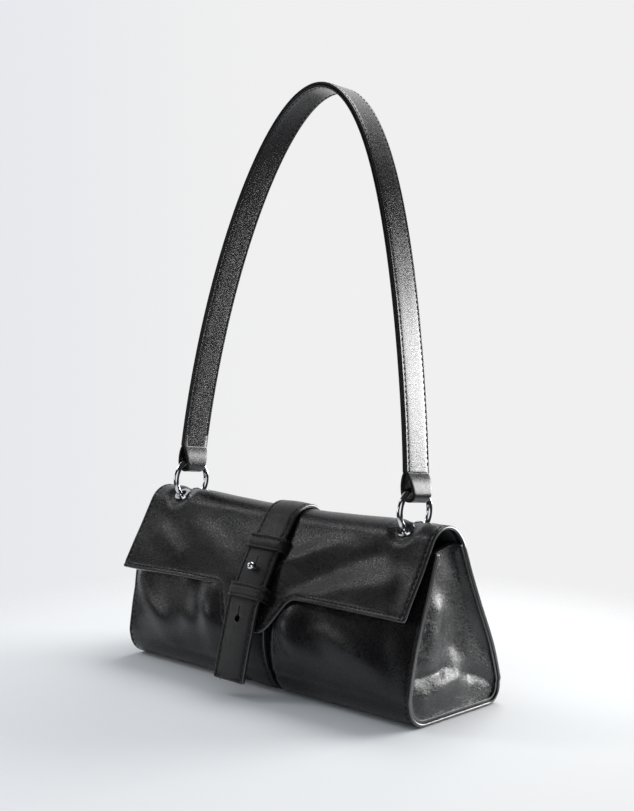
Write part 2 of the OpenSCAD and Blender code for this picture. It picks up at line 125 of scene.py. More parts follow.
def newMaterial(name):
    material = bpy.data.materials.new(name)
    material.use_nodes = True
    material.node_tree.nodes.clear()
    start = Wire(material.node_tree)
    return material, start.node("ShaderNodeTexCoord", out="Object")


def finishMaterial(at, **sockets):
    shader = at.node("ShaderNodeBsdfPrincipled", {}, {key.replace("_", " "): value for key, value in sockets.items()})
    at.node("ShaderNodeOutputMaterial", {}, {"Surface": shader})


studio = {
    "backdrop": (0.871, 0.871, 0.871, 1), "coolSide": (0.80, 0.81, 0.845, 1), "ambient": (0.34, 0.38, 0.43, 1),
    "dark": (0.020, 0.020, 0.022, 1), "behind": (-0.70, 0.70, 0.12), "cool": (-0.72, -0.70, 0.0),
    "nearWall": (0.69, -0.70, 0.16), "wall": (1.05, 1.05, 1.07, 1),
    "behindReach": (0.45, 0.8), "wallReach": (0.87, 0.96), "coolReach": (0.02, 0.24),  # cosines from none to full
    "floorColour": (0.93, 0.92, 0.90, 1), "floorReach": (0.18, 0.40),  # the floor fades out between these metres
}
world = bpy.data.worlds.new("studio")
world.use_nodes = True
world.node_tree.nodes.clear()
scene.world = world
start = Wire(world.node_tree)
ray = start.node("ShaderNodeTexCoord", out="Generated")
facing = ray.along(studio["behind"])
isCamera = start.node("ShaderNodeLightPath", out="Is Camera Ray")
isGlossy = start.node("ShaderNodeLightPath", out="Is Glossy Ray")
isThrough = start.node("ShaderNodeLightPath", out="Is Transmission Ray")
backdropSeen = isCamera.maths("MAXIMUM", isThrough).maths("MAXIMUM", isGlossy * facing.stepped(*studio["behindReach"]))
nearness = ray.along(studio["nearWall"])
room = nearness.stepped(*studio["wallReach"]).blended(studio["dark"], studio["wall"])  # the wall behind the camera
ambient = isGlossy.blended(studio["ambient"], room)
coolness = ray.along(studio["cool"])
backdrop = coolness.stepped(*studio["coolReach"]).blended(studio["backdrop"], studio["coolSide"])
sky = backdropSeen.blended(ambient, backdrop)
background = start.node("ShaderNodeBackground", {}, {"Color": sky, "Strength": 1.0})
start.node("ShaderNodeOutputWorld", {}, {"Surface": background})

lamps = {  # place and aim in metres, size of the softbox in metres, brightness against white
    "side": ((0.65, 0.97, 0.31), (0.05, 0, 0.12), (0.60, 0.50), 11.5),
    "panel": ((0.32, 1.12, 0.18), (0.1, 0, 0.05), (0.34, 0.32), 9.0),
    "over": ((-0.05, 0.52, 1.30), (0, 0, 0.1), (0.8, 0.6), 5.5),
    "front": ((-0.72, -0.46, 0.89), (0.05, 0, 0.08), (0.22, 0.42), 5.2),
    "low": ((-0.82, -0.80, 0.25), (0.05, 0, 0.05), (0.44, 0.34), 2.3),
    "left": ((-1.15, 0.05, 0.38), (0, 0, 0.1), (0.30, 0.6), 1.2),
}
for name, (place, aim, size, brightness) in lamps.items():
    lamp = bpy.data.lights.new(name + "_softbox", "AREA")
    lamp.shape = "RECTANGLE"
    lamp.size, lamp.size_y = size
    lamp.energy = brightness * math.pi * size[0] * size[1]
    lampObject = bpy.data.objects.new(name + "_softbox", lamp)
    lampObject.location = place
    lampObject.rotation_euler = (Vector(aim) - Vector(place)).to_track_quat("-Z", "Y").to_euler()
    lampObject.visible_camera = False
    scene.collection.objects.link(lampObject)

bpy.ops.object.select_all(action="DESELECT")
bpy.ops.mesh.primitive_plane_add(size=5, location=(0, 0, -0.0002))
floor = bpy.context.object
floor.name = "studio_floor"
floorMaterial, at = newMaterial("floor_paper")
reach = at.node("ShaderNodeVectorMath", {"operation": "LENGTH"}, {0: at}, out="Value")
paper = at.node("ShaderNodeBsdfDiffuse", {}, {"Color": studio["floorColour"]})
clear = at.node("ShaderNodeBsdfTransparent")
mixed = at.node("ShaderNodeMixShader", {}, {0: reach.stepped(*studio["floorReach"]), 1: paper, 2: clear})
at.node("ShaderNodeOutputMaterial", {}, {"Surface": mixed})
floor.data.materials.append(floorMaterial)

print("leathers, lining, thread and metal")
looks = {  # colour, roughness, coat and its roughness, grain cells per metre and their stretch, heights in mm
    "shell_leather": dict(shade=0.0042, rough=0.27, shine=0.32, coat=0.22, coatRough=0.17, cells=1000,
        stretch=(1.0, 1.7, 0.62), turn=(0.3, 0.5, 0.2), grain=0.026, crease=0.026, rumple=0.16),
    "belt_leather": dict(shade=0.005, rough=0.34, shine=0.32, coat=0.2, coatRough=0.24, cells=1100,
        stretch=(1.0, 1.0, 0.8), turn=(0.2, 0.1, 0.4), grain=0.04, crease=0.075, rumple=0.10),
    "strap_leather": dict(shade=0.007, rough=0.25, shine=0.55, coat=0.65, coatRough=0.16, cells=900,
        stretch=(0.7, 0.7, 1.9), turn=(0.0, 0.2, 0.1), grain=0.008, crease=0.022, rumple=0.04),
    "loop_leather": dict(shade=0.005, rough=0.32, shine=0.42, coat=0.35, coatRough=0.22, cells=1000,
        stretch=(1.0, 1.0, 1.0), turn=(0.2, 0.1, 0.4), grain=0.01, crease=0.016, rumple=0.04),
    "gusset_leather": dict(shade=0.0045, rough=0.25, shine=0.45, coat=0.5, coatRough=0.13, cells=950,
        stretch=(1.0, 1.0, 1.0), turn=(0.0, 0.0, 0.0), grain=0.08, crease=0.05, rumple=0.18),
}


def makeLeather(name, look):
    material, at = newMaterial(name)
    laid = at.node("ShaderNodeMapping", {}, {"Vector": at, "Rotation": look["turn"], "Scale": look["stretch"]})
    cells = float(look["cells"])
    drift = at.noise(42.0, 3.0)
    lines = at.node("ShaderNodeTexNoise", {}, {"Vector": laid, "Scale": cells * 0.8, "Detail": 3.0, "Roughness": 0.6,
        "Distortion": 0.9})
    crease = (lines - 0.5).maths("ABSOLUTE").stepped(0.0, 0.11)
    grain = at.node("ShaderNodeTexVoronoi", {"feature": "SMOOTH_F1"}, {"Vector": laid, "Scale": cells, "Smoothness": 0.3})
    height = grain * (-look["grain"] * mm) + crease * (look["crease"] * mm) + drift * (look["rumple"] * 2 * mm)
    bump = at.node("ShaderNodeBump", {}, {"Height": height, "Strength": 1.0, "Distance": 1.0})
    shade = look["shade"]
    dark, light = [shade * 0.75, shade * 0.7, shade * 0.8, 1], [shade * 1.35, shade * 1.2, shade * 1.45, 1]
    colour = drift.stepped(0.3, 0.7).blended(dark, light)
    polish = look["rough"] + 0.10 * (0.6 - crease) + 0.12 * (drift - 0.5)
    finishMaterial(at, Base_Color=colour, Roughness=polish, Normal=bump, Coat_Weight=look["coat"],
        Coat_Roughness=look["coatRough"], Coat_Normal=bump, Specular_IOR_Level=look["shine"])
    return material


finish = {name: makeLeather(name, look) for name, look in looks.items()}


def makePlain(name, pattern, relief, dark, light, rough, change, **sockets):  # relief in millimetres
    material, at = newMaterial(name)
    drawn = pattern(at)
    bump = drawn.bumped(relief)
    finishMaterial(at, Base_Color=drawn.blended(dark + (1,), light + (1,)), Roughness=rough + drawn * change, Normal=bump,
        **sockets)
    finish[name] = material


def layers(at):
    return at.noise(420.0, 3.0)


def weave(at):
    warp, weft = [at.node("ShaderNodeTexWave", {"bands_direction": way}, {"Vector": at, "Scale": 420.0, "Distortion": 0.6})
        for way in "XZ"]
    return warp.maths("MAXIMUM", weft)


def twist(at):
    return at.node("ShaderNodeTexWave", {"bands_direction": "DIAGONAL"}, {"Vector": at, "Scale": 900.0})


def pulp(at):
    return at.noise(700.0, 5.0)


makePlain("painted_edge", layers, 0.16, (0.010, 0.010, 0.011), (0.016, 0.016, 0.017), 0.24, 0.16,
    Coat_Weight=1.0, Coat_Roughness=0.2, Specular_IOR_Level=0.9)
# a duller, darker copy of painted_edge for the strap and loop edges: the matte finish is roughness, the darker colour
# is painted shade that keeps the strap's side edges black
makePlain("dull_shaded_edge", layers, 0.12, (0.004, 0.004, 0.004), (0.008, 0.008, 0.009), 0.42, 0.16, Specular_IOR_Level=0.3)
makePlain("woven_lining", weave, 0.12, (0.014, 0.014, 0.015), (0.05, 0.05, 0.053), 0.75, 0.1)
makePlain("thread", twist, 0.08, (0.002, 0.002, 0.002), (0.006, 0.006, 0.006), 0.7, 0.1, Specular_IOR_Level=0.25)
makePlain("board", pulp, 0.1, (0.2, 0.19, 0.17), (0.3, 0.29, 0.26), 0.8, 0.1)


def makeMetal(name, colour, rough, wear):
    material, at = newMaterial(name)
    haze = at.noise(260.0, 4.0)
    scratches = at.noise(1500.0, 2.0)
    bump = scratches.bumped(wear)
    finishMaterial(at, Base_Color=haze.blended([c * 0.93 for c in colour] + [1], colour + [1]), Metallic=1.0,
        Roughness=rough + haze * 0.05, Normal=bump)
    return material


finish["chrome"] = makeMetal("chrome", [0.80, 0.81, 0.83], 0.05, 0.004)
finish["steel"] = makeMetal("steel", [0.58, 0.58, 0.60], 0.26, 0.02)

print("the shell's end profile")
shell = {  # millimetres, as in the part
    "halfWidth": 134.5, "leather": 2.6, "mouth": (-20.546, 106.0), "frontLean": 164.129,
    "frontCorner": (-29.5, 16.0), "frontRadius": 16.0, "backCorner": (33.5, 12.0), "backRadius": 12.0,
    "backLean": 21.902, "ridge": (-8.0, 104.5), "ridgeRadius": 16.0, "flapSlope": 61.0,
    "leafLength": 52.0, "tongueDrop": 26.0, "tongueHalf": 13.0, "tongueRun": 27.5, "flapHalf": 133.0,
    "frontBelly": 13.0, "frontPower": 1.6, "backBelly": 5.0, "bellyLow": 14.0, "endSwell": 0.2,
    "grooveHalf": 14.3, "grooveRun": 6.0, "grooveDepth": 3.5, "overlap": 1.3, "rim": 1.3, "step": 1.9, "seam": 2.8,
}


def roundPoint(centre, radius, degrees):
    c, s = compass(degrees)
    return centre[0] + radius * c, centre[1] + radius * s


def makeTrack():
    leaf = 90 + shell["flapSlope"]
    frontFoot = roundPoint(shell["frontCorner"], shell["frontRadius"], shell["frontLean"])
    backFoot = roundPoint(shell["backCorner"], shell["backRadius"], shell["backLean"])
    hinge = roundPoint(shell["ridge"], shell["ridgeRadius"], shell["backLean"])
    leafTop = roundPoint(shell["ridge"], shell["ridgeRadius"], leaf)
    down = compass(shell["flapSlope"])
    parts = [
        ("frontFoot", shell["mouth"], frontFoot, shell["frontLean"], None),
        ("baseStart", shell["frontCorner"], shell["frontRadius"], shell["frontLean"], 270),
        ("baseEnd", (shell["frontCorner"][0], 0), (shell["backCorner"][0], 0), 270, None),
        ("backFoot", shell["backCorner"], shell["backRadius"], 270, 360 + shell["backLean"]),
        ("hinge", backFoot, hinge, 360 + shell["backLean"], None),
        ("leafTop", shell["ridge"], shell["ridgeRadius"], 360 + shell["backLean"], 360 + leaf),
        ("end", leafTop, (leafTop[0] - 90 * down[0], leafTop[1] - 90 * down[1]), 360 + leaf, None),
    ]
    rows, marks, run = [], {"mouth": 0.0}, 0.0
    for name, first, second, lean, lastLean in parts:
        shares = np.linspace(0, 1, 200)
        if lastLean is None:
            length = math.dist(first, second)
            y, z = [first[i] + (second[i] - first[i]) * shares for i in (0, 1)]
            leans = np.full(200, float(lean))
        else:
            length = math.radians(lastLean - lean) * second
            leans = lean + (lastLean - lean) * shares
            y, z = roundPoint(first, second, leans)
        rows.append(np.stack([run + length * shares, y, z, leans], 1))
        run += length
        marks[name] = run
    rows = np.concatenate(rows)
    return rows[np.concatenate(([True], np.diff(rows[:, 0]) > 1e-9))], marks


track, marks = makeTrack()
marks["baseMiddle"] = (marks["baseStart"] + marks["baseEnd"]) / 2
marks["hem"] = marks["leafTop"] + shell["leafLength"]
leafNormal = compass(90 + shell["flapSlope"])


def folds(x, d, table):
    total = np.zeros(np.broadcast(x, d).shape)
    for x0, d0, x1, d1, width, height in table:
        dx, dd = x1 - x0, d1 - d0
        share = np.clip(((x - x0) * dx + (d - d0) * dd) / max(dx * dx + dd * dd, 1e-9), 0, 1)
        total += height * bell(np.hypot(x - x0 - share * dx, d - d0 - share * dd), width)
    return total


rumples = {  # x and distance along the shell of both ends, width, height, all in mm
    "front": [
        (-124, 52, -84, 92, 9, 1.8), (-104, 46, -84, 60, 9, -0.5), (-70, 40, -60, 78, 9, 1.2),
        (-44, 50, -34, 86, 10, 2.4), (36, 62, 44, 84, 11, 2.6), (72, 56, 100, 74, 12, 1.4),
        (64, 70, 84, 92, 8, -1.2), (112, 60, 122, 96, 8, -1.0), (-118, 92, -60, 98, 9, -1.2),
    ],
    "back": [
        (-96, 232, -30, 262, 12, 1.4), (-110, 262, -70, 286, 10, -1.2), (34, 236, 92, 254, 12, 1.5),
        (52, 268, 104, 282, 10, -1.0),
    ],
    "leaf": [
        (26, 392, 96, 352, 8, -1.0), (34, 396, 112, 372, 9, 1.3), (20, 372, 62, 346, 8, 1.2),
        (-26, 388, -74, 356, 9, 0.5), (-36, 398, -96, 380, 9, -0.4), (-108, 366, -84, 380, 9, 0.9),
        (112, 356, 126, 390, 7, -0.8),
    ],
}


def onTrack(d):
    return [np.interp(d, track[:, 0], track[:, i]) for i in (1, 2, 3)]


drape = {  # how far the leather leaves the plain profile, in mm: height, middle and width, or places and heights
    "high": 110.2, "endRun": 12, "grooveFade": 25, "pinch": (2.4, 18.5, 3.0), "pillow": (1.8, 36, 12),
    "wing": (3.0, 40, 90), "tongue": (1.7, 0, 32), "tongueFrom": 42, "rear": (2.6, 36, 26), "onLeaf": 20,
    "ridge": ([0, 30, 60, 85, 134], [-1.8, -1.6, -0.6, 0.6, 0.9]),
    "ends": ([0, 30, 49, 60, 76, 106], [1.8, 1.2, 0.0, -2.5, -2.9, -0.4]),
}


def hump(place, spot):
    height, middle, width = spot
    return height * bell(place - middle, width)


def across(x):
    return shell["endSwell"] + (1 - shell["endSwell"]) * (1 - np.minimum(np.abs(x) / shell["halfWidth"], 1) ** 2.6)


def ripple(x, d, size):
    return size * (np.sin(x * 0.085 + 1.3 * np.sin(d * 0.043) + 0.7) * np.sin(d * 0.071 + 0.4 * np.sin(x * 0.05) + 1.1)
        + 0.5 * np.sin(x * 0.19 - d * 0.12 + 2.0) * np.sin(d * 0.17 + 0.5))


def shellOffset(x, d):
    y, z, lean = onTrack(d)
    top, low, high = shell["mouth"][1], shell["bellyLow"], drape["high"]
    onFront = (d < marks["baseStart"]) & (z > low)
    onBack = (d > marks["baseEnd"]) & (d < marks["hinge"]) & (z > low)
    fallen = np.clip(top - z, 0, top - low) / (top - low)
    frontShare = np.where(onFront, np.sin(math.pi * fallen ** shell["frontPower"]), 0)
    backShare = np.where(onBack, np.sin(math.pi * np.clip(z - low, 0, high - low) / (high - low)), 0)
    halfWidth = shell["halfWidth"]
    ends = smooth((halfWidth - np.abs(x)) / drape["endRun"])
    body = across(x) * (shell["frontBelly"] * frontShare + shell["backBelly"] * backShare)
    groove = shell["grooveDepth"] * (1 - smooth((np.abs(x) - shell["grooveHalf"]) / shell["grooveRun"]))
    groove = groove * np.where(d > marks["baseEnd"], smooth((high - z) / drape["grooveFade"]), 1) * (d < marks["hinge"])
    pinch = hump(np.abs(x), drape["pinch"]) * frontShare - hump(np.abs(x), drape["pillow"]) * frontShare
    detail = folds(x, d, rumples["front"]) * frontShare ** 0.5 + folds(x, d, rumples["back"]) * backShare
    detail = (detail + ripple(x, d, 0.35) * np.maximum(frontShare, backShare)) * ends * (np.abs(x) > shell["grooveHalf"])
    s = d - marks["leafTop"]
    onLeaf = smooth(s / drape["onLeaf"])
    height, start, run = drape["wing"]
    leaf = height * smooth((np.abs(x) - start) / run) * smooth(s / shell["leafLength"])
    leaf -= hump(x, drape["tongue"]) * smooth((s - drape["tongueFrom"]) / 32)
    leaf = leaf + onLeaf * (folds(x, d, rumples["leaf"]) + ripple(x, d, 0.2)) * smooth((np.abs(x) - 12) / 8)
    rear = onBack * hump(z, drape["rear"]) * smooth(x / halfWidth)
    ridge = np.interp(np.abs(x), *drape["ridge"])
    ridge = ridge * smooth((d - marks["hinge"] + 26) / 30) * (1 - smooth((d - marks["leafTop"]) / 30))
    return body - groove - pinch + detail + rear + ridge + leaf * (s > 0)


def endPush(x, y, z):
    out = np.interp(z, *drape["ends"])
    return out * smooth((-x - 92) / 40) * smooth((24 - y) / 60)


def shellPoint(x, d, h, floorZ=0.0, spread=None):
    x, d, h = np.broadcast_arrays(np.asarray(x, float), np.asarray(d, float), np.asarray(h, float))
    y, z, lean = onTrack(d)
    c, s = compass(lean)
    off = shellOffset(x if spread is None else np.full(x.shape, float(spread)), d) + h
    y, z = y + off * c, z + off * s
    z = np.where(d < marks["hinge"], np.maximum(z, floorZ), z)
    return np.stack([x + endPush(x, y, z) * (d < marks["hinge"]), y, z], -1)


def stations(low, high, step, tight=(), rim=0.0):
    if rim:
        return np.concatenate([[low], stations(low + rim, high - rim, step, tight), [high]])
    places = [low]
    while places[-1] < high:
        here = step
        for middle, reach, fine in tight:
            if abs(places[-1] - middle) < reach:
                here = min(here, fine)
        places.append(places[-1] + here)
    places[-1] = high
    if places[-1] - places[-2] < 0.3 * step:
        places.pop(-2)
    return np.array(places)


def addSheet(name, columns, rows, place, thickness=0.0, bevel=0.4, flip=False, weld=False, offset=-1.0, cut=None,
        materials=("shell_leather", "painted_edge"), smoothAngle=38):
    bpy.ops.object.select_all(action="DESELECT")
    bpy.ops.mesh.primitive_grid_add(x_subdivisions=columns - 1, y_subdivisions=rows - 1, size=2)
    piece = bpy.context.object
    piece.name = piece.data.name = name
    flat = np.empty(len(piece.data.vertices) * 3)
    piece.data.vertices.foreach_get("co", flat)
    flat = flat.reshape(-1, 3)
    i = np.rint((flat[:, 0] + 1) / 2 * (columns - 1)).astype(int)
    j = np.rint((flat[:, 1] + 1) / 2 * (rows - 1)).astype(int)
    placed = place(i, j)
    piece.data.vertices.foreach_set("co", (placed * mm).ravel())
    bpy.ops.object.mode_set(mode="EDIT")
    bpy.ops.mesh.select_all(action="SELECT")
    if weld:
        bpy.ops.mesh.remove_doubles(threshold=0.00002)
    if flip:
        bpy.ops.mesh.flip_normals()
    bpy.ops.object.mode_set(mode="OBJECT")
    if cut is not None:
        bpy.ops.object.mode_set(mode="EDIT")
        bpy.ops.mesh.select_all(action="DESELECT")
        bpy.ops.object.mode_set(mode="OBJECT")
        for polygon in piece.data.polygons:
            polygon.select = bool(cut(polygon.center / mm))
        bpy.ops.object.mode_set(mode="EDIT")
        bpy.ops.mesh.select_mode(type="FACE")
        bpy.ops.mesh.delete(type="FACE")
        bpy.ops.object.mode_set(mode="OBJECT")
    for material in materials:
        piece.data.materials.append(finish[material])
    if thickness:
        solid = piece.modifiers.new("wall", "SOLIDIFY")
        solid.thickness, solid.offset = thickness * mm, offset
        solid.use_even_offset = True
        solid.material_offset_rim = min(1, len(materials) - 1)
        bpy.ops.object.modifier_apply(modifier="wall")
    if bevel:
        soft = piece.modifiers.new("edges", "BEVEL")
        soft.use_clamp_overlap = False
        soft.width, soft.segments = bevel * mm, 2 if bevel < 0.7 else 4
        soft.limit_method, soft.angle_limit = "ANGLE", math.radians(60)
        bpy.ops.object.modifier_apply(modifier="edges")
    bpy.ops.object.shade_smooth_by_angle(angle=math.radians(smoothAngle))
    return piece


flapBend = ("body", "flap", (0, 0.0125, 0.105), (0, 0.0029, 0.1122))  # bodies, and where the bend begins and ends


def belongs(piece, slot, *nodes, body=None, bend=None):
    if bend:
        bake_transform(piece)
    else:
        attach(piece, body)
    if nodes:
        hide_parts(*nodes)


def seamPress(gap, inset=shell["seam"]):
    return -0.35 * bell(gap - inset, 0.8)


print("front panel")
halfWidth = shell["halfWidth"]
mouthSeam = 3.0
endRows = [(-halfWidth, 5, 0.8), (halfWidth, 5, 0.8)]  # middle, reach and step where the rows lie closer
frontX = stations(-halfWidth, halfWidth, 2.0, endRows + [(-19, 8, 1.0), (19, 8, 1.0)], shell["rim"])
frontD = stations(0, marks["baseMiddle"] + shell["overlap"], shell["step"],
    [(0, 4, 0.9), (marks["baseStart"], 16, 1.0)], shell["rim"])


def placeFront(i, j):
    x, d = frontX[i], frontD[j]
    return shellPoint(x, d, seamPress(halfWidth - np.abs(x)) + seamPress(d, mouthSeam))


front = addSheet("front_panel", len(frontX), len(frontD), placeFront, shell["leather"], flip=True, bevel=1.15)
belongs(front, "leather", "body_panel", body="body")

print("back, ridge and flap in one sheet")
flap = {
    "eyeletX": 106.359, "eyeletLean": 34.32, "eyeletHole": 5.0, "hemInset": 3.0, "stretch": 0.86,
    "skew": (2.6, 55, 75), "tuck": (1.2, 95, 35), "puckers": [(-0.8, 7.5, 3.2), (0.35, 13, 3.5), (-1.1, 0, 10)],
}
backX = stations(-halfWidth, halfWidth, 2.0,
    endRows + [(-19, 8, 1.2), (19, 8, 1.2), (-31, 8, 1.2), (31, 8, 1.2)], shell["rim"])
backD = stations(marks["baseMiddle"] - shell["overlap"], marks["hem"], shell["step"],
    [(marks["baseEnd"], 14, 1.0), (marks["hem"], 6, 0.7), (marks["leafTop"] - 18, 20, 1.4)], shell["rim"])


def leafReach(x):
    share = np.clip((np.abs(x) - shell["tongueHalf"]) / shell["tongueRun"], 0, 1)
    tongue = 1 - share ** 3 * (10 - 15 * share + 6 * share * share)
    height, start, run = flap["skew"]
    return shell["leafLength"] + height * smooth((-x - start) / run) + shell["tongueDrop"] * tongue


hemX = np.linspace(-shell["flapHalf"], shell["flapHalf"], 900)
hemLine = np.stack([hemX, leafReach(hemX)], 1)


def hemGap(x, s):
    gap = np.full(x.shape, 99.0)
    near = leafReach(x) - s < 14
    pairs = np.stack([x[near], s[near]], 1)
    gap[near] = np.sqrt(((pairs[:, None, :] - hemLine[None]) ** 2).sum(2)).min(1)
    return gap


def leafStretch(x, d):
    s = d - marks["leafTop"]
    longer = leafReach(x) - shell["leafLength"]
    return np.where(s > 0, d + longer * smooth(s / (flap["stretch"] * shell["leafLength"])), d)


def flapWidth(x, d):  # the flap is a little narrower than the back
    height, start, run = flap["tuck"]
    wider = height * smooth((-x - start) / run) * bell(d - marks["leafTop"] - 8, 24)
    return x * (1 - (1 - shell["flapHalf"] / halfWidth) * smooth((d - marks["hinge"] + 6) / 14)) - wider


def eyeletGap(point):
    gaps = []
    for side in (-1, 1):
        for lean in (-1, 1):
            c, s = compass(90 + lean * flap["eyeletLean"])
            rel = np.asarray(point) - np.array([side * flap["eyeletX"], shell["ridge"][0], shell["ridge"][1]])
            up = rel[..., 1] * c + rel[..., 2] * s
            sideways = -rel[..., 1] * s + rel[..., 2] * c
            gaps.append(np.where(up > 0, np.hypot(rel[..., 0], sideways), 99))
    return np.min(gaps, 0)


def placeBack(i, j):
    x, d = backX[i], backD[j]
    x = flapWidth(x, d)
    d = leafStretch(x, d)
    flat = shellPoint(x, d, 0)
    gap = eyeletGap(flat)
    pucker = sum(hump(gap, spot) for spot in flap["puckers"])
    press = seamPress(halfWidth - np.abs(backX[i])) + seamPress(hemGap(x, d - marks["leafTop"]), flap["hemInset"])
    return shellPoint(x, d, press + pucker)


back = addSheet("back_and_flap", len(backX), len(backD), placeBack, shell["leather"], flip=True, bevel=1.15,
    cut=lambda middle: eyeletGap(np.array(middle)) < flap["eyeletHole"])
belongs(back, "leather", "flap", bend=flapBend)

print("gussets")
gusset = {
    "plane": 130.5, "thickness": 1.8, "gap": 0.15, "centre": (-3.0, 50.0), "stitchOut": 1.2, "stitchIn": 0.15,
    "edgeRows": [0, 0.5, 1.2, 2.0, 2.7, 3.6], "edgeOut": [3.1, 2.0, 1.0, 0.35, 0.05, 0],  # the turned edge
    "edgeIn": [0, 0.02, 0.15, 0.7, 1.4, 2.4], "bulgeRun": 9,
    "foldsRight": [  # y and z of both ends, width, height out of the gusset
        (46, 12, 20, 24, 4, -1.3), (18, 22, -8, 32, 5, -1.8), (-30, 18, 2, 25, 7, 2.8), (-34, 31, -14, 30, 4, -1.8),
        (-24, 41, -17, 68, 8, 2.7), (-3, 104, 4, 48, 15, -3.4), (6, 46, 24, 18, 12, -1.2),
        (19, 74, 27, 42, 10, -1.4),
    ],
    "foldsLeft": [
        (44, 14, 12, 26, 6, -2.2), (12, 26, -14, 34, 6, -1.5), (-28, 20, 4, 22, 7, 1.8), (-26, 46, -14, 72, 8, 2.2),
        (-2, 104, 2, 70, 10, -4.2), (18, 80, 30, 42, 9, 1.4),
    ],
}
lastEdge, lastIn = gusset["edgeRows"][-1], gusset["edgeIn"][-1]
gussetRows = np.append(gusset["edgeRows"], lastEdge + (100 - lastEdge) * np.linspace(0.03, 1, 28) ** 0.85)


def runAlong(line):
    return np.concatenate([[0], np.cumsum(np.hypot(*np.diff(line, axis=0).T))])


def pointAt(place, run, line):
    return np.array([np.interp(place, run, column) for column in line.T])


def gussetRim(count=260):
    d = np.linspace(0.2, marks["hinge"] - 0.5, 600)
    rim = shellPoint(gusset["plane"], d, -shell["leather"] - gusset["gap"])[:, 1:]
    rim = np.concatenate([rim, np.linspace(rim[-1], rim[0], 120)[1:-1]])
    rim = np.concatenate([rim, rim[:1]])
    run = runAlong(rim)
    even = np.linspace(0, run[-1], count)
    topStart = run[599]
    return pointAt(even, run, rim).T, even > topStart


rim, onTop = gussetRim()


def placeGusset(side, table):
    def place(i, j):
        edge, top = rim[i], onTop[i]
        inward = np.array(gusset["centre"]) - edge
        length = np.hypot(inward[:, 0], inward[:, 1])
        row = gussetRows[j]
        flangeX = np.interp(row, gusset["edgeRows"], gusset["edgeOut"]) * (~top)
        inset = np.interp(row, gusset["edgeRows"], gusset["edgeIn"])
        inset = np.where(row <= lastEdge, inset, lastIn + (length - lastIn) * (row - lastEdge) / (100 - lastEdge))
        point = edge + inward / length[:, None] * np.minimum(inset, length)[:, None]
        y, z = point[:, 0], point[:, 1]
        bulge = folds(y, z, table) + 0.35 * np.sin(y * 0.23 + z * 0.09) * np.sin(z * 0.16 + 1)
        bulge = bulge * np.where(top, 1, smooth(inset / gusset["bulgeRun"]))
        x = side * (gusset["plane"] + flangeX + bulge)
        return np.stack([x + endPush(x, y, z), y, z], -1)
    return place


ends = (("left", -1, gusset["foldsLeft"]), ("right", 1, gusset["foldsRight"]))
for name, side, table in ends:
    panel = addSheet("gusset_" + name + "_leather", len(rim), len(gussetRows), placeGusset(side, table),
        gusset["thickness"], bevel=0.3, flip=side > 0, weld=True, materials=("gusset_leather", "painted_edge"))
    belongs(panel, "leather", "gusset_" + name, body="body")

print("belt")
belt = {
    "half": 14.0, "thick": 3.2, "gap": 0.3, "seam": 2.4, "start": 40.0, "underKeeper": 56.0,
    "frontStitch": 11.7, "overStitch": 11.6, "sunk": 0.45, "pitch": 3.9,
    "lift": ([-30, -7, 5, 14, 25, 36, 48, 60], [0, 0.1, 0.7, 1.4, 1.9, 2.2, 2.3, 2.4]),
    "snapAt": (-47.98, 52.37), "snapTilt": 29.0, "snapReach": 11.2, "snapEase": 3.2, "snapProud": 0.5,
}
beltFinish = ("belt_leather", "painted_edge")
beltX = stations(-belt["half"], belt["half"], 1.6, [(side * belt["overStitch"], 1.2, 0.45) for side in (-1, 1)], 1.1)


def beltCrown(x):
    gap = belt["half"] - np.abs(x)
    return 0.45 * smooth(gap / 12) - 0.5 * bell(gap - belt["seam"], 0.75)


def beltLift(d):  # the belt stands a little off the flap below the ridge
    return np.interp(d - marks["leafTop"], *belt["lift"])


def addBelt(name, rows):
    def place(i, j):
        x, d = beltX[i], rows[j]
        height = belt["gap"] + belt["thick"] + beltLift(d) + beltCrown(x) - 0.25
        return shellPoint(x, d, height, spread=0)
    return addSheet(name, len(beltX), len(rows), place, belt["thick"] - 0.2, flip=True, bevel=1.0, materials=beltFinish)


beltFront = addBelt("belt_front", stations(belt["start"], marks["baseMiddle"], 2.0, [(60, 15, 0.9)], 1.2))


def pressSeat(piece):  # presses the belt flat round the snap, so that the disc stands out of it
    flat = np.empty(len(piece.data.vertices) * 3)
    piece.data.vertices.foreach_get("co", flat)
    spots = flat.reshape(-1, 3) / mm
    c, s = compass(belt["snapTilt"])
    y, z = spots[:, 1] - belt["snapAt"][0], spots[:, 2] - belt["snapAt"][1]
    near = smooth((belt["snapReach"] - np.hypot(spots[:, 0], y * s + z * c)) / belt["snapEase"])
    drop = near * np.maximum(z * s - y * c + belt["snapProud"], 0)
    spots[:, 1] += drop * c
    spots[:, 2] -= drop * s
    piece.data.vertices.foreach_set("co", (spots * mm).ravel())
    piece.data.update()


pressSeat(beltFront)
belongs(beltFront, "leather", "belt_lower", body="body")
beltOver = addBelt("belt_over", stations(marks["baseMiddle"], marks["leafTop"] + belt["underKeeper"], 1.8, rim=1.2))
hole = {"radius": 2.3, "slit": 6.0, "width": 0.7, "aside": -0.8, "depth": 14.0, "stud": 37.5, "height": 5.5}


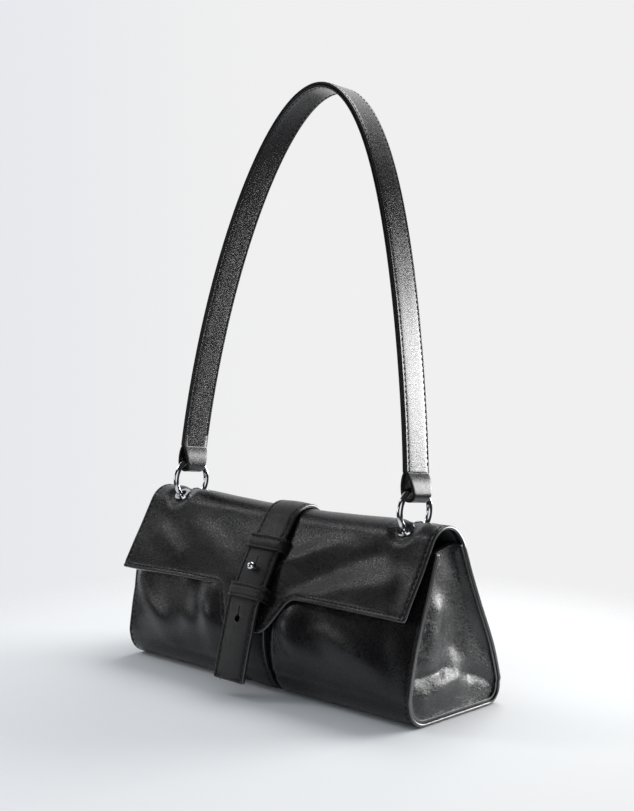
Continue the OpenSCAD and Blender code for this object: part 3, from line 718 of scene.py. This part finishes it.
def cutButtonHole(piece, s, h):
    at = shellPoint(0, marks["leafTop"] + s, h) + np.array([hole["aside"], 0, 0])
    turn = math.radians(shell["flapSlope"])
    length = hole["radius"] + hole["slit"]
    up = np.array([0, *compass(shell["flapSlope"])]) * length / 2
    for tool in ("hole", "slit"):
        bpy.ops.object.select_all(action="DESELECT")
        if tool == "hole":
            bpy.ops.mesh.primitive_cylinder_add(vertices=32, radius=hole["radius"] * mm, depth=hole["depth"] * mm,
                location=at * mm, rotation=(turn, 0, 0))
        else:
            bpy.ops.mesh.primitive_cube_add(size=1, location=(at + up) * mm, rotation=(turn, 0, 0),
                scale=(hole["width"] * mm, length * mm, hole["depth"] * mm))
        cutter = bpy.context.object
        bpy.ops.object.transform_apply(location=True, rotation=True, scale=True)
        carve = piece.modifiers.new("carve", "BOOLEAN")
        carve.operation, carve.solver, carve.object = "DIFFERENCE", "EXACT", cutter
        bpy.context.view_layer.objects.active = piece
        bpy.ops.object.modifier_apply(modifier="carve")
        bpy.data.objects.remove(cutter)
    bpy.ops.object.select_all(action="DESELECT")
    piece.select_set(True)
    bpy.ops.object.shade_smooth_by_angle(angle=math.radians(38))


cutButtonHole(beltOver, hole["stud"], hole["height"])
belongs(beltOver, "leather", "belt_upper", bend=flapBend)

print("belt tail")
tail = {  # the line gives distance down the leaf and height over it
    "line": [(55.5, 5.6), (59.5, 5.9), (64, 5.4), (70, 4.1), (80, 1.7), (90, -0.7), (100, -3.3), (112, -6.4)],
    "corner": 2.0, "hole": 72.6, "stitchStart": 60.5, "bend": ("flap", "tail", (0, -0.0520, 0.0650), (0, -0.0565, 0.0570)),
}


def leafFrame(s, h):
    top = roundPoint(shell["ridge"], shell["ridgeRadius"], 90 + shell["flapSlope"])
    down = compass(shell["flapSlope"])
    return top[0] + h * leafNormal[0] - s * down[0], top[1] + h * leafNormal[1] - s * down[1]


def tailLine():
    knots = np.array(tail["line"])
    fine = np.linspace(knots[0, 0], knots[-1, 0], 400)
    coarse = np.interp(fine, knots[:, 0], knots[:, 1])
    kernel = np.hanning(61)
    padded = np.concatenate([2 * coarse[0] - coarse[30:0:-1], coarse, 2 * coarse[-1] - coarse[-2:-32:-1]])
    return fine, np.convolve(padded, kernel / kernel.sum(), "valid")


tailS, tailH = tailLine()
tailRows = stations(tailS[0], tailS[-1], 1.8, [(tailS[-1] - 2.4, 1.3, 0.45)], 1.1)


def placeTail(i, j):
    x, s = beltX[i], tailRows[j]
    r, foot = tail["corner"], tailS[-1]
    a, b = (np.abs(x) - belt["half"] + r) / r, (s - foot + r) / r
    inCorner = (a > 0) & (b > 0)
    pull = np.where(inCorner, np.maximum(a, b) / np.maximum(np.hypot(a, b), 1e-9), 1)  # rounds the two corners
    x = np.where(inCorner, np.sign(x) * (belt["half"] - r + a * pull * r), x)
    s = np.where(inCorner, foot - r + b * pull * r, s)
    h = np.interp(s, tailS, tailH) + beltCrown(x)
    h -= 0.5 * bell(foot - s - belt["seam"], 0.75) * (np.abs(x) < belt["overStitch"])
    y, z = leafFrame(s, h)
    return np.stack([x, y, z], -1)


beltTail = addSheet("belt_tail_leather", len(beltX), len(tailRows), placeTail, belt["thick"] - 0.2, flip=True, bevel=1.0,
    materials=beltFinish)
tailSpot = np.array([0, *leafFrame(tail["hole"], np.interp(tail["hole"], tailS, tailH))])
tailLift = (tailSpot - shellPoint(0, marks["leafTop"] + tail["hole"], 0)) @ np.array([0, *leafNormal])
cutButtonHole(beltTail, tail["hole"], tailLift)
belongs(beltTail, "leather", "belt_tail", bend=tail["bend"])

print("keepers")
keeper = {  # upper and lower: distance down the leaf and height over it
    "half": 15.5, "round": 1.7, "length": 9.8, "thick": 1.9, "seam": 2.1, "upper": (14.2, 6.0), "lower": (49.3, 6.8),
    "rows": [0, 0.7, 1.3, 1.8, 2.3, 3.2, 4.9, 6.6, 7.5, 8.0, 8.5, 9.1, 9.8],
}


def keeperPath(rise):
    r = keeper["round"]
    left = [(-keeper["half"], z) for z in np.linspace(-0.4, rise - r, 5)]
    bend = [(-keeper["half"] + r - r * math.cos(a), rise - r + r * math.sin(a)) for a in np.linspace(0, math.pi / 2, 7)[1:]]
    top = [(x, rise + 0.4 * math.cos(x / 12)) for x in np.linspace(-keeper["half"] + r, 0, 9)[1:]]
    half = left + bend + top
    return np.array(half + [(-x, h) for x, h in reversed(half[:-1])])


keeperRows = np.array(keeper["rows"])


def placeKeeper(start, rise):
    keeperLine = keeperPath(rise)

    def place(i, j):
        x, h = keeperLine[i, 0], keeperLine[i, 1]
        step = keeperRows[j]
        gap = np.minimum(step, keeper["length"] - step)
        out = keeper["thick"] / 2 - 0.5 * bell(gap - keeper["seam"], 0.7) + 0.4 * bell(gap - 0.7, 0.9)
        turned = np.clip((rise - h) / keeper["round"], 0, 1)
        x = x + np.sign(x) * out * turned
        return shellPoint(x, marks["leafTop"] + start + step, h + out * (1 - turned), spread=0)
    return place


for name in ("upper", "lower"):
    band = addSheet(name + "_keeper_leather", len(keeperPath(5)), len(keeperRows), placeKeeper(*keeper[name]),
        keeper["thick"], flip=True, bevel=0.35, materials=beltFinish)
    belongs(band, "leather", name + "_keeper", body="flap")

print("linings, facings and pocket")
inner = {
    "lining": 0.8, "halfWidth": 128.4, "floor": 7.8, "liningIn": 2.9, "short": 0.3,
    "facing": 1.0, "facingHalf": 127.3, "facingDepth": 17.0, "facingIn": 3.85,
    "pocketHalf": 65.0, "pocketTop": 281.0, "pocketFoot": 222.0,
    "flapHalf": 129.0, "flapHem": 4.0, "flapIn": 2.65, "endIn": 5.0, "endFloor": 8.75,
}


def addInner(name, half, d0, d1, off, thickness, look, node, floorZ=0.0, bend=None, stretch=False, slot="lining"):
    columns = stations(-half, half, 4.0, [(-18, 8, 2.0), (18, 8, 2.0)])
    rows = stations(d0, d1, 3.0)

    def place(i, j):
        x, d = columns[i], rows[j]
        if stretch:
            length = shell["leafLength"] - inner["flapHem"]
            s = np.minimum(d - marks["leafTop"], length)
            longer = (leafReach(x) - shell["leafLength"]) * smooth(s / length)
            d = np.where(s > 0, marks["leafTop"] + s + longer, d)
        return shellPoint(x, d, -off, floorZ)
    piece = addSheet(name, len(columns), len(rows), place, thickness, flip=True, bevel=0, materials=(look, look))
    belongs(piece, slot, node, body=None if bend else "body", bend=bend)
    return piece


backTop = marks["hinge"] - inner["short"]
addInner("bag_lining", inner["halfWidth"], 0, backTop, inner["liningIn"], inner["lining"], "woven_lining", "lining",
    inner["floor"])
addInner("front_facing_leather", inner["facingHalf"], 0, inner["facingDepth"], inner["facingIn"], inner["facing"],
    "belt_leather", "front_facing", slot="leather")
addInner("back_facing_leather", inner["facingHalf"], marks["hinge"] - inner["facingDepth"], backTop, inner["facingIn"],
    inner["facing"], "belt_leather", "back_facing", slot="leather")
addInner("pocket", inner["pocketHalf"], inner["pocketFoot"], inner["pocketTop"], inner["facingIn"], inner["lining"],
    "woven_lining", "slip_pocket")
addInner("flap_lining_cloth", inner["flapHalf"], marks["hinge"] + inner["short"], marks["hem"] - inner["flapHem"],
    inner["flapIn"], inner["lining"], "woven_lining", "flap_lining", bend=flapBend, stretch=True)


def addEndLining(name, side, table):
    d = np.linspace(0, marks["hinge"] - 0.4, 400)
    edge = shellPoint(inner["halfWidth"], d, -inner["endIn"], inner["endFloor"])[:, 1:]
    edge = np.concatenate([edge, np.linspace(edge[-1], edge[0], 60)[1:]])
    run = runAlong(edge)
    edge = pointAt(np.linspace(0, run[-1], 100), run, edge).T

    def place(i, j):
        share = (j / 14)[:, None]
        point = edge[i] * (1 - share) + np.array(gusset["centre"]) * share
        y, z = point[:, 0], point[:, 1]
        sag = np.minimum(0, folds(y, z, table) - 0.3)  # follows the gusset where that folds in
        x = side * (inner["halfWidth"] + sag)
        return np.stack([x + endPush(x, y, z), y, z], -1)
    piece = addSheet("end_lining_" + name, 100, 15, place, inner["lining"], flip=side > 0, weld=True, bevel=0,
        materials=("woven_lining", "woven_lining"))
    belongs(piece, "lining", "lining_end_" + name, body="body")


for name, side, table in ends:
    addEndLining(name, side, table)

print("strap and loops")
strap = {
    "span": 107.0, "rise": 276.0, "power": 1.38, "bow": 3.2, "lean": 6.9, "half": 11.3, "outer": 2.1, "inner": 1.9,
    "slack": 0.25, "stitch": 9.2, "stitchSunk": 0.25, "endStitch": 0.02, "pitch": 3.7,
    "end": 24.0, "endLean": 5.436, "ringY": -8.0, "ringZ": 127.3, "ringX": 106.359, "ringR": 14.3,
}


def archPoint(t, off):
    power = strap["power"]
    x, h = strap["span"] * np.cos(t), strap["rise"] * np.sin(t) ** power
    dx, dh = -strap["span"] * np.sin(t), strap["rise"] * power * np.sin(t) ** (power - 1) * np.cos(t)
    size = np.hypot(dx, dh)
    return x + off * dh / size, h - off * dx / size


def strapPlace(x, across_, h):
    c, s = compass(strap["lean"])
    bow = strap["bow"] * np.sin(math.pi * np.clip(h / strap["rise"], 0, 1))
    return np.stack([x, strap["ringY"] + (across_ - bow) * c + h * s, strap["ringZ"] - across_ * s + h * c], -1)


endTurn = math.asin((strap["end"] / strap["rise"]) ** (1 / strap["power"]))
fineT = np.linspace(endTurn, math.pi - endTurn, 2000)
fineX, fineH = archPoint(fineT, 0)
archRun = runAlong(np.stack([fineX, fineH], 1))
archT = np.interp(np.linspace(0, archRun[-1], 320), archRun, fineT)
strapY = stations(-strap["half"], strap["half"], 1.6, [(side * strap["stitch"], 1.1, 0.45) for side in (-1, 1)], 0.9)


def placeStrap(outward, face):
    def place(i, j):
        y = strapY[i]
        gap = strap["half"] - np.abs(y)
        crown = 0.15 * smooth(gap / 7) - 0.15 - 0.3 * bell(gap - 2.1, 0.55)
        x, h = archPoint(archT[j], outward * (face + crown))
        return strapPlace(x, y, h)
    return place


for name, outward, bevel in (("outer", 1, 0.75), ("inner", -1, 0.7)):
    layer = addSheet("strap_" + name + "_leather", len(strapY), len(archT), placeStrap(outward, strap[name]),
        strap[name] - strap["slack"], bevel=bevel, flip=outward < 0, materials=("strap_leather", "dull_shaded_edge"))
    belongs(layer, "strap_leather", "strap_" + name, body="strap")

loop = {"thick": 1.8, "radius": 4.9, "foot": -9.0, "neck": 0.9, "bulge": 0.9, "rounds": 9,
    "topHalf": 10.5, "footHalf": 7.5, "tuck": 9.0}


def loopPath():
    neckTop = (strap["end"] - strap["ringR"]) / math.cos(math.radians(strap["endLean"]))
    centre = np.array([0, loop["foot"] + loop["thick"] / 2 + loop["radius"]])
    neck = np.array([loop["neck"], neckTop])
    away = neck - centre
    touch = math.atan2(away[1], away[0]) - math.acos(loop["radius"] / np.hypot(*away))
    turns = np.linspace(touch, -math.pi / 2, 16)
    arc = [centre + loop["radius"] * np.array([math.cos(a), math.sin(a)]) for a in turns]
    side = [neck + (arc[0] - neck) * share + np.array([loop["bulge"] * math.sin(math.pi * share), 0])
        for share in np.linspace(0, 1, 14)[:-1]]
    half = [neck + np.array([0, loop["tuck"]])] + side + arc
    points = np.array(half + [np.array([-p[0], p[1]]) for p in reversed(half[:-1])])
    for smoothing in range(loop["rounds"]):
        points[2:-2] = (points[1:-3] + 2 * points[2:-2] + points[3:-1]) / 4
    return points, neckTop, centre[1] - loop["radius"]


loopLine, loopTop, loopFoot = loopPath()
loopY = np.linspace(-1, 1, 11)


def placeLoop(side):
    def place(i, j):
        p = loopLine[j]
        half = np.interp(p[:, 1], [loopFoot, loopTop - 2], [loop["footHalf"], loop["topHalf"]])
        lean = math.radians(strap["endLean"])
        x = p[:, 0] * math.cos(lean) - p[:, 1] * math.sin(lean)
        h = p[:, 0] * math.sin(lean) + p[:, 1] * math.cos(lean)
        return strapPlace(side * (strap["ringX"] + x), loopY[i] * half, strap["ringR"] + h)
    return place


for name, side in (("loop_left", -1), ("loop_right", 1)):
    fold = addSheet(name + "_leather", len(loopY), len(loopLine), placeLoop(side), loop["thick"], offset=0.0, bevel=0.4,
        flip=side < 0, materials=("loop_leather", "dull_shaded_edge"))
    belongs(fold, "strap_leather", name, body="strap")

print("stitches")
thread = {"length": 2.6, "width": 0.95, "height": 0.6, "pitch": 4.0, "over": -0.2}
bpy.ops.object.select_all(action="DESELECT")
bpy.ops.mesh.primitive_uv_sphere_add(segments=6, ring_count=4, radius=0.5, rotation=(0, math.pi / 2, 0))
pattern = bpy.context.object
bpy.ops.object.transform_apply(location=True, rotation=True, scale=True)
stitchPoints = np.array([v.co for v in pattern.data.vertices])
stitchFaces = sorted(list(polygon.vertices) for polygon in pattern.data.polygons)  # Blender's own order varies
bpy.data.objects.remove(pattern)


def sew(name, lines, slot, pitch=None, size=1.0, body=None, bend=None):
    pitch = pitch or thread["pitch"]
    points, faces = [], []
    length = thread["length"] * pitch / thread["pitch"]
    shape = stitchPoints * np.array([length, thread["width"] * size, thread["height"] * size])
    for line, normals in lines:
        run = np.concatenate([[0], np.cumsum(np.linalg.norm(np.diff(line, axis=0), axis=1))])
        count = max(1, int(run[-1] / pitch))
        for middle in (np.arange(count) + 0.5) * run[-1] / count:
            at, before, after = [pointAt(place, run, line) for place in (middle, middle - 0.3, middle + 0.3)]
            ahead, up = after - before, pointAt(middle, run, normals)
            ahead /= np.linalg.norm(ahead)
            sideways = np.cross(up, ahead)
            sideways /= np.linalg.norm(sideways)
            up = np.cross(ahead, sideways)
            faces += [[v + len(points) * len(shape) for v in face] for face in stitchFaces]
            points.append(at + shape @ np.stack([ahead, sideways, up]))
    mesh = bpy.data.meshes.new(name)
    mesh.from_pydata((np.concatenate(points) * mm).tolist(), [], faces)
    mesh.materials.append(finish["thread"])
    piece = bpy.data.objects.new(name, mesh)
    scene.collection.objects.link(piece)
    bpy.ops.object.select_all(action="DESELECT")
    piece.select_set(True)
    bpy.context.view_layer.objects.active = piece
    bpy.ops.object.shade_smooth()
    belongs(piece, slot, body=body, bend=bend)


def lineOn(surface, first, second):
    at = surface(first, second)
    one, two = surface(first + 0.2, second) - at, surface(first, second + 0.2) - at
    normal = np.cross(two, one)
    normal /= np.linalg.norm(normal, axis=1)[:, None]
    return at, normal


def onShell(x, d):
    return shellPoint(x, d, thread["over"])


steps = np.linspace(0, 1, 300)
sides = (-1, 1)
seamX = halfWidth - shell["seam"]
frontRun = mouthSeam + (marks["baseMiddle"] - mouthSeam) * steps
frontLines = [lineOn(onShell, side * seamX, frontRun) for side in sides]
frontLines.append(lineOn(onShell, np.linspace(-131, 131, 300), mouthSeam))
sew("front_stitches", frontLines, "leather", body="body")
backLines = []
for side in sides:
    d = marks["baseMiddle"] + (marks["hem"] - marks["baseMiddle"] - flap["hemInset"]) * steps
    backLines.append(lineOn(onShell, flapWidth(side * seamX, d), d))
slope = np.gradient(hemLine[:, 1], hemLine[:, 0])
hemX2 = hemLine[:, 0] + flap["hemInset"] * slope / np.sqrt(1 + slope ** 2)
hemS2 = hemLine[:, 1] - flap["hemInset"] / np.sqrt(1 + slope ** 2)
inside = np.abs(hemX2) < shell["flapHalf"] - shell["seam"]
backLines.append(lineOn(onShell, hemX2[inside], marks["leafTop"] + hemS2[inside]))
sew("flap_stitches", backLines, "leather", bend=flapBend)
gussetLines = []
for side in sides:
    keep = ~onTop
    edge = rim[keep]
    inward = np.array(gusset["centre"]) - edge
    inward /= np.hypot(*inward.T)[:, None]
    point = edge + inward * gusset["stitchIn"]
    x = np.full(len(edge), side * (gusset["plane"] + gusset["stitchOut"]))
    gussetLines.append((np.stack([x + endPush(x, point[:, 0], point[:, 1]), point[:, 0], point[:, 1]], 1),
        np.stack([np.zeros(len(edge)), inward[:, 0], inward[:, 1]], 1)))
sew("gusset_stitches", gussetLines, "leather", body="body", pitch=3.4)


def onBelt(x, d):
    return shellPoint(x, d, belt["gap"] + belt["thick"] - belt["sunk"] + beltLift(d), spread=0)


beltRun = belt["start"] + (marks["baseMiddle"] - belt["start"]) * steps
sew("belt_front_stitches", [lineOn(onBelt, side * belt["frontStitch"], beltRun) for side in sides],
    "leather", body="body", pitch=belt["pitch"])
overRun = marks["baseMiddle"] + (marks["leafTop"] + belt["underKeeper"] - marks["baseMiddle"]) * steps
sew("belt_over_stitches", [lineOn(onBelt, side * belt["overStitch"], overRun) for side in sides],
    "leather", bend=flapBend, pitch=belt["pitch"])


def onTail(x, s):
    y, z = leafFrame(s, np.interp(s, tailS, tailH) - 0.3)
    return np.stack(np.broadcast_arrays(x, y, z), -1)


tailRun = np.linspace(tail["stitchStart"], tailS[-1] - 2.4, 200)
tailLines = [lineOn(onTail, side * belt["frontStitch"], tailRun) for side in sides]
tailLines.append(lineOn(onTail, np.linspace(-10.5, 10.5, 100), tailS[-1] - 2.3))
sew("tail_stitches", tailLines, "leather", bend=tail["bend"], pitch=belt["pitch"])


def onKeeper(rise):
    return lambda x, d: shellPoint(x, d, rise + keeper["thick"] / 2 - 0.1, spread=0)


keeperLines = []
for name in ("upper", "lower"):
    start, rise = keeper[name]
    for step in (keeper["seam"], keeper["length"] - keeper["seam"]):
        keeperLines.append(lineOn(onKeeper(rise), np.linspace(-13.4, 13.4, 120), marks["leafTop"] + start + step))
sew("keeper_stitches", keeperLines, "leather", body="flap", pitch=3.3, size=0.85)


def strapLine(turns, across_, outward, face):
    x, h = archPoint(turns, outward * (face - strap["stitchSunk"]))
    x2, h2 = archPoint(turns, outward * (face - strap["stitchSunk"] + 1))
    line = strapPlace(x, across_, h)
    return line, strapPlace(x2, across_, h2) - line


strapLines = []
sideTurns = fineT[15:-15]
for outward, face in ((1, strap["outer"]), (-1, strap["inner"])):
    for side in sides:
        strapLines.append(strapLine(sideTurns, np.full(len(sideTurns), side * strap["stitch"]), outward, face))
    for turn in (endTurn + strap["endStitch"], math.pi - endTurn - strap["endStitch"]):
        strapLines.append(strapLine(np.full(60, turn), np.linspace(-8.2, 8.2, 60), outward, face))
sew("strap_stitches", strapLines, "strap_leather", body="strap", pitch=strap["pitch"])

print("stud, metal parts and board")
stud = {"ball": (8.5, 2.9), "turns": 48,  # height and radius
    "profile": [(0, 1.9), (0.6, 2.0), (1.2, 1.95), (5.6, 1.9), (6.2, 2.1)]}


def spinStud():
    h, r = stud["ball"]
    ball = [(h + r * math.sin(a), r * math.cos(a)) for a in np.linspace(math.asin(-0.72), math.pi / 2, 22)[:-1]]
    line = stud["profile"] + ball
    around = np.linspace(0, 2 * math.pi, stud["turns"] + 1)

    def place(i, j):
        spot = np.array(line + [(h + r, 0.0)])[j]
        turn = around[i]
        y, z = leafFrame(hole["stud"] + spot[:, 1] * np.sin(turn), spot[:, 0])
        return np.stack([hole["aside"] + spot[:, 1] * np.cos(turn), y, z], -1)
    return addSheet("stud_head", len(around), len(line) + 1, place, flip=True, weld=True, bevel=0, materials=("chrome",),
        smoothAngle=60)


belongs(spinStud(), "chrome", "stud", body="flap")
metalNodes = {
    "chrome": ["eyelet_front_left", "eyelet_front_right", "eyelet_back_left", "eyelet_back_right", "ring_left",
        "ring_right"],
    "steel": ["stud_screw", "eyelet_washers", "snap_stud", "snap_socket"],
    "board": ["base_board"],
}
for look, names in metalNodes.items():
    for name in names:
        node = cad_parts[name]
        if not node.material_slots:
            node.data.materials.append(finish[look])
        for slot in node.material_slots:
            slot.material = finish[look]
